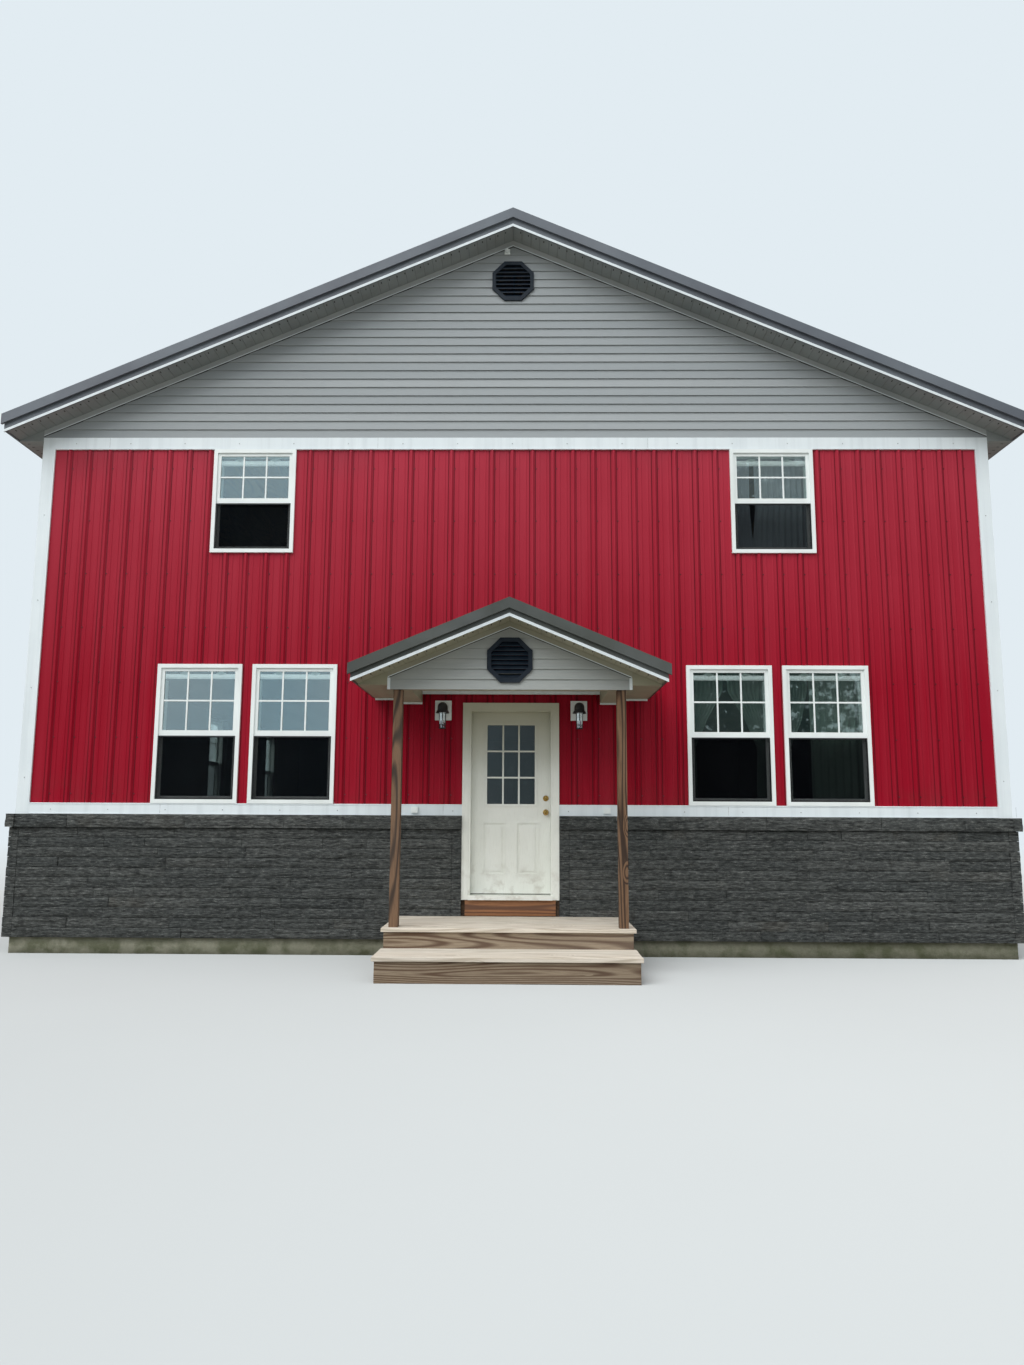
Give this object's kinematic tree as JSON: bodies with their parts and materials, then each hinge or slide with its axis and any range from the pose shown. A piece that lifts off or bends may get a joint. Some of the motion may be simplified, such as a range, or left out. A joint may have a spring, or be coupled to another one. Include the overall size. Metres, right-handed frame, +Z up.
{
  "type": "barn house with a gabled entrance porch",
  "caption": "Two-storey red barn house with ribbed steel walls, a stone base, a low gable roof and a small gabled porch over a glazed front door.",
  "frame": {"origin": "centre of the foundation's underside, at ground level", "axes": "+Z up; -Y is the front with the door and porch; +X to the right seen from the front"},
  "size_m": [11.3298, 14.194, 8.3052],
  "materials": {
    "concrete": "rough, weathered and a little mossy",
    "stone_facing": "split charcoal ledge stone",
    "floor_wood": "satin boards",
    "framed_wall": "flat painted lining",
    "red_steel": "satin baked paint",
    "white_steel": "satin baked paint",
    "roof_steel": "satin baked paint",
    "gray_vinyl": "low sheen with a faint grain",
    "soffit_gray": "low sheen",
    "navy_vent": "low sheen",
    "white_vinyl": "low sheen",
    "window_glass": "clear",
    "lamp_glass": "clear, bevelled",
    "screen_mesh": "fine woven mesh",
    "black_metal": "satin",
    "curtain_cloth": "light woven cloth",
    "door_paint": "eggshell paint",
    "brass": "polished",
    "kick_wood": "stained, weathered",
    "deck_wood": "weathered boards",
    "post_wood": "weathered, open grain",
    "roof_wood": "rough sheathing"
  },
  "bodies": {
    "root": {"foundation": "concrete", "ground_floor": "floor_wood", "upper_floor": "floor_wood", "front_wall_left": "framed_wall", "front_wall_right": "framed_wall", "front_wall_over_door": "framed_wall", "left_wall": "framed_wall", "right_wall": "framed_wall", "back_wall": "framed_wall", "gable_walls": "framed_wall", "siding_front": "red_steel", "siding_back": "red_steel", "siding_sides": "red_steel", "gable_siding": "gray_vinyl", "gable_vents": "navy_vent", "stone_wainscot": "stone_facing", "stone_ledge": "stone_facing", "sill_trims": "white_steel", "corner_trims": "white_steel", "band_trims": "white_steel", "frieze_trims": "soffit_gray", "roof_deck_left": "roof_wood", "roof_deck_right": "roof_wood", "roof_sheets_left": "roof_steel", "roof_sheets_right": "roof_steel", "ridge_caps": "roof_steel", "rake_trims": "roof_steel", "fascia_boards": "roof_steel", "soffits": "soffit_gray", "soffit_channels": "white_steel", "window_frames_front": "white_vinyl", "window_frames_back": "white_vinyl", "window_frames_sides": "white_vinyl", "window_glass_ground": "window_glass", "window_glass_upper": "window_glass", "window_screens": "screen_mesh", "window_blinds": "white_vinyl", "curtain_rods": "black_metal", "curtains": "curtain_cloth", "door_frame": "door_paint", "door_hinges": "brass", "kick_board": "kick_wood", "porch_deck": "deck_wood", "porch_step": "deck_wood", "porch_posts": "post_wood", "porch_beams": "soffit_gray", "porch_ceiling": "white_vinyl", "porch_roof_decks": "roof_wood", "porch_roof_sheets": "roof_steel", "porch_trims": "white_steel", "lamp_blocks": "white_vinyl", "wall_lamps": "black_metal", "lamp_glass": "lamp_glass"},
    "door": {"door_leaf": "door_paint", "door_glass": "window_glass", "door_knobs": "brass"}
  },
  "joints": [
    {"name": "door_hinge", "type": "hinge", "parent": "root", "child": "door", "pos_m": [-0.4455, -5.897, 1.616], "axis": [0, 0, 1], "range_deg": [0, 100]}
  ]
}
